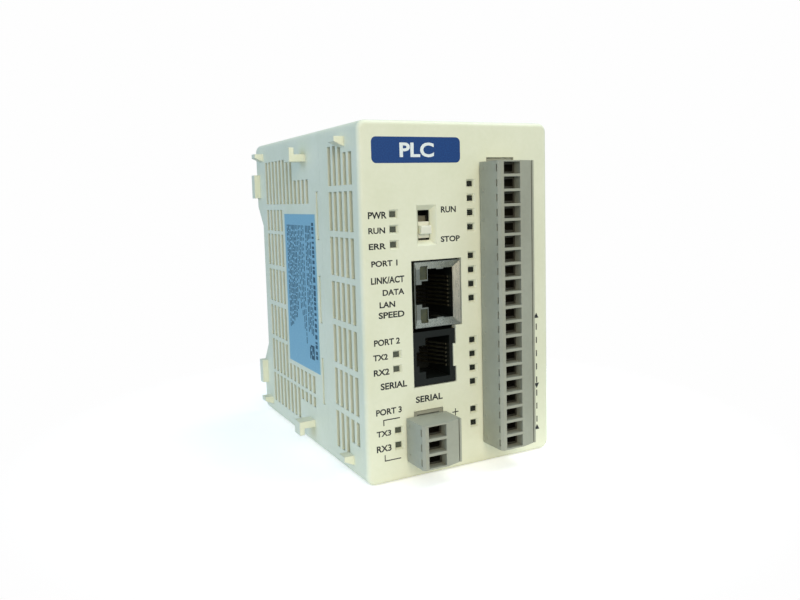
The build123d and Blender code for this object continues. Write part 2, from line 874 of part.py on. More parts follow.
# --------------------------------------------------------------------------- mode switch
knob_z = switch_z - switch_travel / 2
carriage_y = switch_body_y + switch_shell + slide_gap
cavity_h = carriage_h + switch_travel + 2 * slide_gap
with BuildPart() as switch_body:
    box_between(
        cpu_face, switch_x + switch_body_w / 2, switch_body_y, switch_body_y + switch_body_d,
        switch_z - switch_body_h / 2, switch_z + switch_body_h / 2,
    )
    box_between(
        switch_x - carriage_w / 2 - slide_gap, switch_x + carriage_w / 2 + slide_gap,
        carriage_y - slide_gap, carriage_y + carriage_t + slide_gap,
        switch_z - cavity_h / 2, switch_z + cavity_h / 2, Mode.SUBTRACT,
    )
    box_between(
        switch_x - switch_slot_w / 2 - slide_gap, switch_x + switch_slot_w / 2 + slide_gap,
        switch_body_y - 1, carriage_y, switch_z - switch_slot_h / 2, switch_z + switch_slot_h / 2,
        Mode.SUBTRACT,
    )
save(switch_body, "switch_body")

with BuildPart() as switch_carriage:
    box_between(
        switch_x - carriage_w / 2, switch_x + carriage_w / 2, carriage_y, carriage_y + carriage_t,
        knob_z - carriage_h / 2, knob_z + carriage_h / 2,
    )
save(switch_carriage, "switch_carriage")

with BuildPart() as switch_knob:
    box_between(
        switch_x - knob_w / 2, switch_x + knob_w / 2, knob_front, carriage_y,
        knob_z - knob_h / 2, knob_z + knob_h / 2,
    )
    box_between(
        switch_x - knob_w / 2, switch_x + knob_w / 2, handle_front, knob_front + 0.1,
        knob_z - handle_h / 2, knob_z + handle_h / 2,
    )
    fillet(switch_knob.faces().sort_by(Axis.Y)[0].edges(), 0.25)
save(switch_knob, "switch_knob")


# --------------------------------------------------------------------------- jacks
def jack_cavity(x1, z, front, main, step, notch, depth):
    """Plug cavity with the latch steps towards the left; main, step and notch are (width, height)."""
    box_between(x1 - main[0], x1, front - 1, front + depth, z - main[1] / 2, z + main[1] / 2, Mode.SUBTRACT)
    step_x = x1 - main[0]
    box_between(
        step_x - step[0], step_x + 0.1, front - 1, front + depth, z - step[1] / 2, z + step[1] / 2, Mode.SUBTRACT
    )
    notch_x = step_x - step[0]
    box_between(
        notch_x - notch[0], notch_x + 0.1, front - 1, front + depth, z - notch[1] / 2, z + notch[1] / 2,
        Mode.SUBTRACT,
    )


def jack_contacts(x1, z, start, ways, reach):
    """Sprung wires from the right wall of a cavity, sloping inwards to its back."""
    for way in range(ways):
        height = z + contact_pitch * (way - (ways - 1) / 2) - contact_w / 2
        with BuildSketch(Plane.XY.offset(height), mode=Mode.PRIVATE) as wire:
            with BuildLine() as path:
                Polyline(
                    (from_left(x1 - 0.3), from_face(start)),
                    (from_left(x1 - 0.3), from_face(start + 1.2)),
                    (from_left(x1 - 3.2), from_face(start + reach - 2)),
                    (from_left(x1 - 3.2), from_face(start + reach)),
                )
            trace(path.edges(), line_width=contact_t)
        extrude(wire.sketch, amount=contact_w)


net_cavity_x = net_left + net_w - net_right_rim
net_main = (net_cavity_w, net_cavity_h)
net_step = (net_step_w, net_step_h)
net_notch = (net_notch_w, net_notch_h)
insert_front = net_front + net_sheet + face_gap
window_x = net_cavity_x - net_cavity_w - net_step_w / 2 - 0.3
window_z = [net_z - net_step_h / 2 - 2.0, net_z + net_step_h / 2 + 2.0]


def cut_windows(depth, gap):
    """Holes for the two lamp windows of the network jack."""
    for z in window_z:
        box_between(
            window_x - net_window_w / 2 - gap, window_x + net_window_w / 2 + gap, net_front - 1, depth,
            z - net_window_h / 2 - gap, z + net_window_h / 2 + gap, Mode.SUBTRACT,
        )


with BuildPart() as network_jack_shield:
    box_between(
        net_left, net_left + net_w, net_lip, net_front + net_d, net_z - net_h / 2, net_z + net_h / 2
    )
    # The mouth flares from the cavity out to the edges of the sheet.
    with BuildSketch(front_view(net_lip), mode=Mode.PRIVATE) as lip_edge:
        with Locations((from_left(net_left + net_w / 2), net_z)):
            Rectangle(net_w - net_sheet, net_h - net_sheet)
    with BuildSketch(front_view(net_front), mode=Mode.PRIVATE) as lip_root:
        with Locations((from_left((net_left + net_lip_left + net_cavity_x) / 2), net_z)):
            Rectangle(net_cavity_x - net_left - net_lip_left, net_cavity_h)
    loft([lip_edge.sketch.face(), lip_root.sketch.face()], mode=Mode.SUBTRACT)
    box_between(
        net_left + net_sheet, net_left + net_w - net_sheet, net_front + net_sheet,
        net_front + net_d + 1, net_z - net_h / 2 + net_sheet, net_z + net_h / 2 - net_sheet, Mode.SUBTRACT,
    )
    jack_cavity(net_cavity_x, net_z, net_front, net_main, net_step, net_notch, 1.0)
    cut_windows(insert_front, 0)
    # Sprung ears at the top and bottom of the mouth.
    for side in (-1, 1):
        z = net_z + side * net_cavity_h / 2
        box_between(
            net_cavity_x - 4.6, net_cavity_x - 2.6, net_front, net_front + 3.4, z + side * 0.05, z - side * 0.25
        )
save(network_jack_shield, "network_jack_shield")

with BuildPart() as network_jack_insert:
    side = net_sheet + face_gap
    box_between(
        net_left + side, net_left + net_w - side, insert_front, net_front + net_d - 0.4,
        net_z - net_h / 2 + side, net_z + net_h / 2 - side,
    )
    jack_cavity(net_cavity_x, net_z, insert_front, net_main, net_step, net_notch, net_cavity_d)
    cut_windows(insert_front + net_window_l, face_gap)
    for ear in (-1, 1):
        z = net_z + ear * net_cavity_h / 2
        box_between(
            net_cavity_x - 4.7, net_cavity_x - 2.5, net_front, net_front + 3.5, z - ear, z + ear * 0.1,
            Mode.SUBTRACT,
        )
save(network_jack_insert, "network_jack_insert")

with BuildPart() as network_jack_contacts:
    jack_contacts(net_cavity_x, net_z, insert_front + 1.4, net_ways, net_cavity_d - 1.5)
save(network_jack_contacts, "network_jack_contacts")

with BuildPart() as network_jack_windows:
    for z in window_z:
        box_between(
            window_x - net_window_w / 2, window_x + net_window_w / 2, insert_front,
            insert_front + net_window_l - face_gap, z - net_window_h / 2, z + net_window_h / 2,
        )
save(network_jack_windows, "network_jack_windows")

serial_cavity_x = jack_left + serial_w - serial_right_rim
with BuildPart() as serial_jack_body:
    box_between(
        jack_left, jack_left + serial_w, serial_front, serial_front + serial_d,
        serial_z - serial_h / 2, serial_z + serial_h / 2,
    )
    jack_cavity(
        serial_cavity_x, serial_z, serial_front, (serial_cavity_w, serial_cavity_h),
        (serial_step_w, serial_step_h), (serial_notch_w, serial_notch_h), serial_cavity_d,
    )
    box_between(
        serial_right - latch_tab_w - face_gap, serial_right + 1, -1, wall + face_gap,
        serial_z - latch_tab_h / 2 - face_gap, serial_z + latch_tab_h / 2 + face_gap, Mode.SUBTRACT,
    )
save(serial_jack_body, "serial_jack_body")

with BuildPart() as serial_jack_contacts:
    jack_contacts(serial_cavity_x, serial_z, serial_front + 1.2, serial_ways, serial_cavity_d - 1.3)
save(serial_jack_contacts, "serial_jack_contacts")


# --------------------------------------------------------------------------- terminal headers
def header(plug_x, plug_low, poles, board_face):
    """Open shroud for a plug, with a foot on its board and square holes for the pins."""
    x0 = plug_x + header_x
    z0 = plug_low - header_lip
    z1 = plug_low + poles * pole_pitch + header_lip
    box_between(x0, x0 + header_w, header_front, header_d, z0, z1)
    if board_face < x0:
        box_between(board_face, x0, board_front + 1, header_d, z0, z1)
    box_between(
        x0 + header_wall, x0 + header_w - header_wall, header_front - 1, header_d - header_back_t,
        plug_low - slide_gap / 2, plug_low + poles * pole_pitch + slide_gap / 2, Mode.SUBTRACT,
    )
    leg_y = header_d - header_back_t / 2
    hole = pin_w / 2 + face_gap
    for pole in range(poles):
        z = plug_low + pole_pitch * (pole + 0.5)
        x = plug_x + contact_x
        box_between(x - hole, x + hole, header_front, leg_y + hole, z - hole, z + hole, Mode.SUBTRACT)
        box_between(x0 - 6, x + hole, leg_y - hole, leg_y + hole, z - hole, z + hole, Mode.SUBTRACT)


def header_pins(plug_x, plug_low, poles, board_x):
    """Square pins, bent once, from the shroud into the board."""
    leg_y = header_d - header_back_t / 2
    half = pin_w / 2
    x = plug_x + contact_x
    for pole in range(poles):
        z = plug_low + pole_pitch * (pole + 0.5)
        box_between(x - half, x + half, pin_front, leg_y + half, z - half, z + half)
        box_between(board_x - 0.6, x, leg_y - half, leg_y + half, z - half, z + half)


with BuildPart() as header_20:
    header(big_plug_x, big_plug_low, big_poles, io_face)
save(header_20, "header_20")

with BuildPart() as header_20_pins:
    header_pins(big_plug_x, big_plug_low, big_poles, io_board_x)
save(header_20_pins, "header_20_pins")

with BuildPart() as header_3:
    header(small_plug_x, small_plug_low, small_poles, cpu_face)
save(header_3, "header_3")

with BuildPart() as header_3_pins:
    header_pins(small_plug_x, small_plug_low, small_poles, cpu_board_x)
save(header_3_pins, "header_3_pins")


# --------------------------------------------------------------------------- terminal plugs
def plug_outline(plug_x):
    """The plug's outer part from above: a flat front for the wires and a strip that slants back."""
    corners = [
        (0, -plug_cover_gap),
        (0, plug_chamfer - plug_out),
        (plug_chamfer, -plug_out),
        (plug_slant_start, -plug_out),
        (plug_groove_x, plug_slant_drop - plug_out),
        (plug_groove_x, plug_slant_drop - plug_out + 0.8),
        (plug_groove_x + plug_groove_w, plug_slant_drop - plug_out + 0.8),
        (plug_groove_x + plug_groove_w, plug_slant_drop - plug_out),
        (plug_w, plug_slant_drop - plug_out),
        (plug_w, -plug_cover_gap),
    ]
    with BuildLine() as outline:
        Polyline(*[(from_left(plug_x + x), from_face(y)) for x, y in corners], close=True)
    make_face(outline.edges())


def plug_body(plug_x, plug_low, poles):
    """Moulded plug: wire cells at the front, screw wells on the right, a tongue behind."""
    length = poles * pole_pitch
    with BuildSketch(Plane.XY.offset(plug_low), mode=Mode.PRIVATE) as outline:
        plug_outline(plug_x)
    extrude(outline.sketch, amount=length)
    tongue_x = plug_x + header_x + header_wall + fit_gap
    tongue_w = header_w - 2 * header_wall - 2 * fit_gap
    box_between(
        tongue_x, tongue_x + tongue_w, -plug_cover_gap - 0.1, tongue_l, plug_low + fit_gap,
        plug_low + length - fit_gap,
    )
    for pole in range(poles):
        z = plug_low + pole_pitch * (pole + 0.5)
        box_between(
            plug_x + cell_x, plug_x + cell_x + cell_w, -plug_out - 1, -cell_floor,
            z - cell_h / 2, z + cell_h / 2, Mode.SUBTRACT,
        )
        half_w = contact_tube_w / 2 + face_gap
        half_h = contact_tube_h / 2 + face_gap
        x = plug_x + contact_x
        box_between(
            x - half_w, x + half_w, -cell_floor - 0.1, tongue_l + 1, z - half_h, z + half_h, Mode.SUBTRACT
        )
        box_between(
            plug_x - 1, plug_x + 0.8, plug_chamfer - plug_out + 0.1, plug_chamfer - plug_out + 0.1 + plug_slot_w,
            z - plug_slot_h / 2, z + plug_slot_h / 2, Mode.SUBTRACT,
        )
        well_x = plug_x + plug_w - screw_sink - screw_head_t
        with Locations(Location((from_left(well_x + 3), from_face(screw_y), z), (0, 90, 0))):
            Cylinder(screw_head_r + fit_gap, 6, mode=Mode.SUBTRACT)
        with Locations(Location((from_left(plug_x + cell_x + cell_w + 1.5), from_face(screw_y), z), (0, 90, 0))):
            Cylinder(screw_shank_r + 0.1, 4, mode=Mode.SUBTRACT)
    dots = [plug_low + 1.6, plug_low + length - 1.6]
    dots += [plug_low + length - 2 * pole_pitch * step for step in range(1, (poles + 1) // 2)]
    for z in dots if poles > small_poles else [plug_low + pole_pitch / 2, plug_low + length - pole_pitch / 2]:
        with Locations(Location((from_left(plug_x), from_face(-dot_depth), z), (0, 90, 0))):
            Cylinder(dot_r, 2 * dot_out)


def plug_cages(plug_x, heights):
    """Rectangular wire cages standing on the floors of the cells."""
    x0 = plug_x + cell_x + cage_gap
    x1 = plug_x + cell_x + cell_w - cage_gap
    y1 = -cell_floor - cage_gap
    half = cell_h / 2 - cage_gap
    for z in heights:
        box_between(x0, x1, y1 - cage_l, y1, z - half, z + half)
        box_between(
            x0 + cage_t, x1 - cage_t, y1 - cage_l - 1, y1 - cage_t, z - half + cage_t, z + half - cage_t,
            Mode.SUBTRACT,
        )


def plug_contacts(plug_x, heights):
    """Square contact tubes in the tongue, open at the back for the header's pins."""
    x = plug_x + contact_x
    for z in heights:
        half_w = contact_tube_w / 2
        half_h = contact_tube_h / 2
        box_between(x - half_w, x + half_w, -cell_floor, tongue_l - 0.9, z - half_h, z + half_h)
        bore = contact_bore / 2
        box_between(x - bore, x + bore, pin_front - 0.6, tongue_l, z - bore, z + bore, Mode.SUBTRACT)


def plug_screws(plug_x, heights):
    """Slotted clamp screws, heads sunk in the right side."""
    head_x = plug_x + plug_w - screw_sink
    tip_x = plug_x + cell_x + cell_w - cage_gap + face_gap
    head_in = head_x - screw_head_t
    for z in heights:
        with Locations(Location((from_left(head_x - screw_head_t / 2), from_face(screw_y), z), (0, 90, 0))):
            Cylinder(screw_head_r, screw_head_t)
        with Locations(Location((from_left((head_in + tip_x) / 2), from_face(screw_y), z), (0, 90, 0))):
            Cylinder(screw_shank_r, head_in - tip_x)
        box_between(
            head_x - 0.5, head_x + 1, screw_y - 2, screw_y + 2, z - screw_slot_w / 2, z + screw_slot_w / 2,
            Mode.SUBTRACT,
        )


for size, plug_x, plug_low, heights in (
    ("20", big_plug_x, big_plug_low, big_plug_z),
    ("3", small_plug_x, small_plug_low, small_plug_z),
):
    with BuildPart() as body:
        plug_body(plug_x, plug_low, len(heights))
    save(body, "plug_" + size + "_body")
    with BuildPart() as cages:
        plug_cages(plug_x, heights)
    save(cages, "plug_" + size + "_cages")
    with BuildPart() as contacts:
        plug_contacts(plug_x, heights)
    save(contacts, "plug_" + size + "_contacts")
    with BuildPart() as screws:
        plug_screws(plug_x, heights)
    save(screws, "plug_" + size + "_screws")
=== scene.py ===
"""Looks of a compact PLC module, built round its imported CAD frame."""

import math
import random

import bmesh
import bpy
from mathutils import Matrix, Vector


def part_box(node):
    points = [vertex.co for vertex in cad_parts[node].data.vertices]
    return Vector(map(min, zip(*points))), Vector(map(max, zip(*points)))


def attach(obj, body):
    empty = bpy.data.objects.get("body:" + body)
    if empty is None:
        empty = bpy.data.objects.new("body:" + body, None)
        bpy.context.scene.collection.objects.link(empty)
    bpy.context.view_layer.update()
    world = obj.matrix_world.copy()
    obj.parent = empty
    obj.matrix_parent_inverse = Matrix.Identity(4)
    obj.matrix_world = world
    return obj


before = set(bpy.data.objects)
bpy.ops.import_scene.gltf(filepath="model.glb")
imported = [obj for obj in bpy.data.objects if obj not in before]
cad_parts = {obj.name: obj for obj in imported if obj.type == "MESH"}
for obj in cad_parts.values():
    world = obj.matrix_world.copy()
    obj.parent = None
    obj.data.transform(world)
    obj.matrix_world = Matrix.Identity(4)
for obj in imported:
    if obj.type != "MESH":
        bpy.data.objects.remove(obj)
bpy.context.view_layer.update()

# --------------------------------------------------------------------------- camera
# A short lens close to the module, low on its left, so that the front and the left side
# both show and the rear edges draw in quickly.
millimetre = 0.001
cover_low, cover_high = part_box("front_cover")

camera = bpy.data.objects.new("camera", bpy.data.cameras.new("camera"))
camera.data.lens = 32.0
camera.data.sensor_width = 36.0
camera.data.shift_x = 0.0397
camera.data.shift_y = -0.0424
camera.data.clip_start = 0.005
camera.location = (-95.6 * millimetre, cover_low.y - 144.8 * millimetre, 67.3 * millimetre)
camera.rotation_euler = (math.radians(84.57), math.radians(1.74), math.radians(-26.15))
bpy.context.scene.collection.objects.link(camera)
bpy.context.scene.camera = camera

# --------------------------------------------------------------------------- studio
# A white sweep with no horizon: a pale matt floor that fades out around the module into a
# white surround, a warm soft box in front, a cool one on the left and one high on the right.


def linear(code):
    """An sRGB hex colour as linear RGBA."""
    channels = [int(code[place:place + 2], 16) / 255 for place in (0, 2, 4)]
    return [c / 12.92 if c <= 0.04045 else ((c + 0.055) / 1.055) ** 2.4 for c in channels] + [1.0]


def add(tree, kind, settings=None, links=None):
    """Adds one node. Settings are properties or socket values, and links are sockets that feed it."""
    made = tree.nodes.new(kind)
    for name, value in (settings or {}).items():
        if isinstance(name, int) or name in made.inputs:
            made.inputs[name].default_value = value
        else:
            setattr(made, name, value)
    for name, source in (links or {}).items():
        tree.links.new(source, made.inputs[name])
    return made


def start(name, values):
    """A new material with one Principled shader, whose fixed values go on its own sockets."""
    made = bpy.data.materials.new(name)
    made.use_nodes = True
    shader = made.node_tree.nodes["Principled BSDF"]
    for socket, value in values.items():
        shader.inputs[socket].default_value = value
    return made, made.node_tree, shader


def flat_piece(name, outlines, place):
    """A mesh of flat faces from closed outlines. Place turns an outline's point into one in the frame."""
    drawn = bmesh.new()
    for outline in outlines:
        drawn.faces.new([drawn.verts.new(place(*point)) for point in outline])
    mesh = bpy.data.meshes.new(name)
    drawn.to_mesh(mesh)
    drawn.free()
    piece = bpy.data.objects.new(name, mesh)
    bpy.context.scene.collection.objects.link(piece)
    return piece


# Matt white paper, faintly fibrous. To the eye it glows enough to leave only a trace of shadow.
floor_reach, floor_drop = 900 * millimetre, 0.2 * millimetre
fade_near, fade_far = 45 * millimetre, 110 * millimetre
floor = flat_piece(
    "floor",
    [[(-floor_reach, -floor_reach), (floor_reach, -floor_reach), (floor_reach, floor_reach),
      (-floor_reach, floor_reach)]],
    lambda x, y: (x, y, -floor_drop),
)
paper, tree, shader = start("matt white paper", {"Roughness": 0.9, "Specular IOR Level": 0.1,
                                                  "Emission Color": linear("FFFFFF")})
coords = add(tree, "ShaderNodeTexCoord")
distance = add(tree, "ShaderNodeVectorMath", {"operation": "LENGTH"}, {0: coords.outputs["Object"]})
fade = add(tree, "ShaderNodeMapRange", {"From Min": fade_near, "From Max": fade_far, "To Min": 1.0, "To Max": 0.0,
                                        "interpolation_type": "SMOOTHSTEP"}, {"Value": distance.outputs["Value"]})
fibre = add(tree, "ShaderNodeTexNoise", {"Scale": 260.0, "Detail": 4.0},
            {"Vector": coords.outputs["Object"]})
tone = add(tree, "ShaderNodeMix", {"data_type": "RGBA", 6: linear("FBFBFA"), 7: linear("FFFFFF")},
           {0: fibre.outputs["Fac"]})
viewed = add(tree, "ShaderNodeLightPath")
bounce = add(tree, "ShaderNodeMix", {"data_type": "RGBA", 6: linear("F4F6F6")},
             {0: viewed.outputs["Is Camera Ray"], 7: tone.outputs[2]})
tree.links.new(bounce.outputs[2], shader.inputs["Base Color"])
glow = add(tree, "ShaderNodeMath", {"operation": "MULTIPLY_ADD", 1: 0.32, 2: 0.08},
           {0: viewed.outputs["Is Camera Ray"]})
tree.links.new(glow.outputs[0], shader.inputs["Emission Strength"])
tree.links.new(fade.outputs["Result"], shader.inputs["Alpha"])
floor.data.materials.append(paper)

world = bpy.data.worlds.new("white surround")
world.use_nodes = True
bpy.context.scene.world = world
tree = world.node_tree
lit = tree.nodes["Background"]
lit.inputs["Color"].default_value = linear("D8ECF6")
lit.inputs["Strength"].default_value = 0.46
seen = add(tree, "ShaderNodeBackground", {"Color": linear("FEFEFE"), "Strength": 1.0})
path = add(tree, "ShaderNodeLightPath")
both = add(tree, "ShaderNodeMixShader", {}, {
    0: path.outputs["Is Camera Ray"], 1: lit.outputs["Background"], 2: seen.outputs["Background"]})
tree.links.new(both.outputs["Shader"], tree.nodes["World Output"].inputs["Surface"])
bpy.context.scene.view_settings.view_transform = "Standard"

for name, place, aim, size, power, tint in (
    ("front soft box", (-0.16, -0.62, 0.26), (-0.02, 0.0, 0.04), 0.45, 2.35, "FFF0D4"),
    ("left soft box", (-0.70, 0.05, 0.25), (0.0, 0.0, 0.04), 0.5, 1.75, "AED2FF"),
    ("top soft box", (0.31, -0.11, 0.63), (0.0, 0.0, 0.04), 0.5, 2.9, "EAFAFF"),
):
    lamp = bpy.data.lights.new(name, "AREA")
    lamp.size = size
    lamp.energy = power
    lamp.color = linear(tint)[:3]
    holder = bpy.data.objects.new(name, lamp)
    holder.location = place
    holder.rotation_euler = (Vector(aim) - Vector(place)).to_track_quat("-Z", "Y").to_euler()
    bpy.context.scene.collection.objects.link(holder)

# --------------------------------------------------------------------------- case shells
# The front cover and the rear case are injection-moulded ABS shells that snap together behind
# the front vents. They have a fine spark-eroded grain and rub a little lighter along the edges.


def dress(nodes, material):
    """Gives CAD nodes a material."""
    for node in nodes:
        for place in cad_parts[node].material_slots:
            place.material = material


def moulded(name, values, low, high, worn, grain_mm, depth_mm, wear_mm):
    """Moulded plastic: cloudy colour between low and high, a fine grain, and edges rubbed to worn."""
    made, tree, shader = start(name, values)
    coords = add(tree, "ShaderNodeTexCoord")
    cloud = add(tree, "ShaderNodeTexNoise", {"Scale": 1 / (14 * millimetre), "Detail": 5.0, "Roughness": 0.6},
                {"Vector": coords.outputs["Object"]})
    speck = add(tree, "ShaderNodeTexNoise", {"Scale": 1 / (1.1 * millimetre), "Detail": 3.0},
                {"Vector": coords.outputs["Object"]})
    mixed = add(tree, "ShaderNodeMath", {"operation": "MULTIPLY_ADD", 1: 0.35},
                {0: speck.outputs["Fac"], 2: cloud.outputs["Fac"]})
    spread = add(tree, "ShaderNodeMapRange", {"From Min": 0.45, "From Max": 0.90}, {"Value": mixed.outputs[0]})
    base = add(tree, "ShaderNodeMix", {"data_type": "RGBA", 6: linear(low), 7: linear(high)},
               {0: spread.outputs["Result"]})
    rounded = add(tree, "ShaderNodeBevel", {"samples": 4, "Radius": wear_mm * millimetre})
    faced = add(tree, "ShaderNodeNewGeometry")
    bend = add(tree, "ShaderNodeVectorMath", {"operation": "DOT_PRODUCT"},
               {0: rounded.outputs["Normal"], 1: faced.outputs["Normal"]})
    rub = add(tree, "ShaderNodeMapRange", {"From Min": 0.99, "From Max": 0.75, "To Max": 0.75},
              {"Value": bend.outputs["Value"]})
    patchy = add(tree, "ShaderNodeMath", {"operation": "MULTIPLY"},
                 {0: rub.outputs["Result"], 1: cloud.outputs["Fac"]})
    colour = add(tree, "ShaderNodeMix", {"data_type": "RGBA", 7: linear(worn)},
                 {0: patchy.outputs[0], 6: base.outputs[2]})
    tree.links.new(colour.outputs[2], shader.inputs["Base Color"])
    grain = add(tree, "ShaderNodeTexNoise", {"Scale": 1 / (grain_mm * millimetre), "Detail": 2.0},
                {"Vector": coords.outputs["Object"]})
    raised = add(tree, "ShaderNodeBump", {"Strength": 1.0, "Distance": depth_mm * millimetre},
                 {"Height": grain.outputs["Fac"], "Normal": rounded.outputs["Normal"]})
    tree.links.new(raised.outputs["Normal"], shader.inputs["Normal"])
    gloss = add(tree, "ShaderNodeMapRange",
                {"To Min": values["Roughness"] - 0.06, "To Max": values["Roughness"] + 0.08},
                {"Value": grain.outputs["Fac"]})
    tree.links.new(gloss.outputs["Result"], shader.inputs["Roughness"])
    return made


# Cream ABS, satin: an even, slightly warm white. The real grain is about 0.05 mm, drawn at 0.35 mm to show.
case_abs = moulded("cream ABS", {"Roughness": 0.48, "IOR": 1.53}, "E3E5CC", "ECEDD8", "F6F6E8",
                   0.35, 0.012, 0.25)
dress(["front_cover", "rear_case", "expansion_cover"], case_abs)

# --------------------------------------------------------------------------- printed front
# Pad-printed legends in black ink straight on the cover: names beside the lamps, ports and
# switch, a bracket round the third port and a dashed line beside the terminals. The frame's
# middle is the middle of the case, so its left side mirrors its right one, clear of the hooks.
ink_h = 0.012 * millimetre
print_y = cover_low.y - ink_h
case_left = -cover_high.x
stroke_swell = 0.03
letter_words = [
    ("PWR", 2.0, 6.8, 62.6, 64.2), ("RUN", 2.0, 6.3, 59.2, 60.6), ("ERR", 2.0, 6.4, 55.6, 57.0),
    ("RUN", 21.4, 25.6, 63.4, 64.9), ("STOP", 21.2, 26.6, 56.4, 57.8),
    ("PORT 1", 2.5, 9.3, 51.6, 53.0), ("LINK/ACT", 2.3, 11.0, 47.6, 49.2), ("DATA", 5.2, 10.9, 44.8, 46.2),
    ("LAN", 4.3, 8.4, 42.0, 43.4), ("SPEED", 4.0, 10.8, 39.5, 41.0),
    ("PORT 2", 2.6, 9.4, 33.2, 34.7), ("TX2", 2.25, 6.1, 29.8, 31.2), ("RX2", 2.3, 6.4, 26.2, 27.7),
    ("SERIAL", 4.0, 11.0, 22.7, 24.3), ("SERIAL", 13.3, 20.8, 18.2, 19.8),
    ("PORT 3", 2.6, 9.4, 16.7, 18.2), ("TX3", 2.6, 6.4, 11.6, 13.0), ("RX3", 2.5, 6.4, 7.9, 9.5),
]


def front_point(x, z):
    """A point on the print, from millimetres right of the cover's left side and above the base."""
    return case_left + x * millimetre, print_y, z * millimetre


def words_on_front(name, words, place):
    """Upright lettering as one mesh, each word fitted to its own left, right, low and high."""
    drawn = bmesh.new()
    for word, left, right, low, high in words:
        line = bpy.data.curves.new(name, "FONT")
        line.body = word
        line.resolution_u = 4
        line.offset = stroke_swell
        typed = bpy.data.objects.new(name, line)
        shape = bpy.data.meshes.new_from_object(typed)
        points = [v.co.copy() for v in shape.vertices]
        x0, x1 = min(p.x for p in points), max(p.x for p in points)
        y0, y1 = min(p.y for p in points), max(p.y for p in points)
        for vertex, p in zip(shape.vertices, points):
            across = left + (right - left) * (p.x - x0) / (x1 - x0)
            up = low + (high - low) * (p.y - y0) / (y1 - y0)
            vertex.co = place(across, up)
        drawn.from_mesh(shape)
        bpy.data.objects.remove(typed)
        bpy.data.curves.remove(line)
        bpy.data.meshes.remove(shape)
    mesh = bpy.data.meshes.new(name)
    drawn.to_mesh(mesh)
    drawn.free()
    piece = bpy.data.objects.new(name, mesh)
    bpy.context.scene.collection.objects.link(piece)
    return piece


def bar(x0, x1, z0, z1):
    """The outline of an upright bar."""
    return [(x0, z0), (x1, z0), (x1, z1), (x0, z1)]


def ink(name, low, high):
    """Printing ink: nearly solid, with pinholes and a slight sheen of its own."""
    made, tree, shader = start(name, {"Roughness": 0.42, "IOR": 1.5})
    coords = add(tree, "ShaderNodeTexCoord")
    pinholes = add(tree, "ShaderNodeTexNoise", {"Scale": 1 / (0.3 * millimetre), "Detail": 3.0},
                   {"Vector": coords.outputs["Object"]})
    spread = add(tree, "ShaderNodeMapRange", {"From Min": 0.4, "From Max": 0.75},
                 {"Value": pinholes.outputs["Fac"]})
    tone = add(tree, "ShaderNodeMix", {"data_type": "RGBA", 6: linear(low), 7: linear(high)},
               {0: spread.outputs["Result"]})
    tree.links.new(tone.outputs[2], shader.inputs["Base Color"])
    return made


# Pad-printing ink: flat near-black, a little thin in places.
black_ink = ink("black pad-printing ink", "16171A", "3A3B3C")
legends = words_on_front("front_legends", letter_words, front_point)
legends.data.materials.append(black_ink)
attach(legends, "housing")

# The bracket's upper and lower corners, the plus sign, and the dashes with their three arrows.
line_w = 0.26
plus_x, plus_z, plus_half = 24.4, 14.35, 0.88
rules = [
    bar(4.4, 4.4 + line_w, 14.1, 15.6), bar(4.4, 8.85, 15.6 - line_w, 15.6),
    bar(4.5, 4.5 + line_w, 5.5, 7.05), bar(4.5, 8.9, 5.5, 5.5 + line_w),
    bar(plus_x - plus_half, plus_x + plus_half, plus_z - line_w / 2, plus_z + line_w / 2),
    bar(plus_x - line_w / 2, plus_x + line_w / 2, plus_z - plus_half, plus_z + plus_half),
]
margin_x, dash_half, arrow_half = 49.65, 0.16, 0.75
dash_foot, dash_head, dash_pitch = 7.6, 9.2, 3.5
rules += [bar(margin_x - dash_half, margin_x + dash_half, dash_foot + dash_pitch * row, dash_head + dash_pitch * row)
          for row in range(8)]
for tip, foot in ((36.6, 35.2), (16.6, 18.0), (7.0, 5.6)):
    rules.append([(margin_x - arrow_half, foot), (margin_x + arrow_half, foot), (margin_x, tip)])
ruled = flat_piece("front_rules", rules, front_point)
ruled.data.materials.append(black_ink)
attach(ruled, "housing")

# --------------------------------------------------------------------------- badge
# A thin plate printed blue, glued in the top left corner of the cover. It only says what kind
# of device this is.
badge_left, badge_right, badge_low, badge_high = 3.3, 27.1, 75.2, 81.2
badge_r = 1.2


def rounded_bar(x0, x1, z0, z1, radius):
    """The outline of a bar with round corners."""
    points = []
    for cx, cz, first in ((x1 - radius, z1 - radius, 0), (x0 + radius, z1 - radius, 90),
                          (x0 + radius, z0 + radius, 180), (x1 - radius, z0 + radius, 270)):
        for step in range(7):
            turn = math.radians(first + 15 * step)
            points.append((cx + radius * math.cos(turn), cz + radius * math.sin(turn)))
    return points


# Screen-printing inks: a deep even blue, and a cool white that covers it.
badge = flat_piece("badge_plate", [rounded_bar(badge_left, badge_right, badge_low, badge_high, badge_r)],
                   front_point)
badge.data.materials.append(ink("blue screen-printing ink", "08397A", "12498C"))
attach(badge, "housing")
word = words_on_front("badge_word", [("PLC", 10.6, 19.8, 76.5, 79.9)],
                      lambda x, z: (case_left + x * millimetre, print_y - ink_h, z * millimetre))
word.data.materials.append(ink("white screen-printing ink", "E4ECF0", "F4F8FA"))
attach(word, "housing")

# --------------------------------------------------------------------------- type label
# A polyester film label stuck in the recess of the left side, printed in dark blue. Only bars
# stand where a maker would print words.
dress(["side_label"], ink("pale blue polyester film", "80B4CC", "8FC0D4"))
label_low, label_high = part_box("side_label")
label_front, label_back = label_low.y / millimetre, label_high.y / millimetre
label_foot, label_head = label_low.z / millimetre, label_high.z / millimetre
random.seed(7)
bars = []


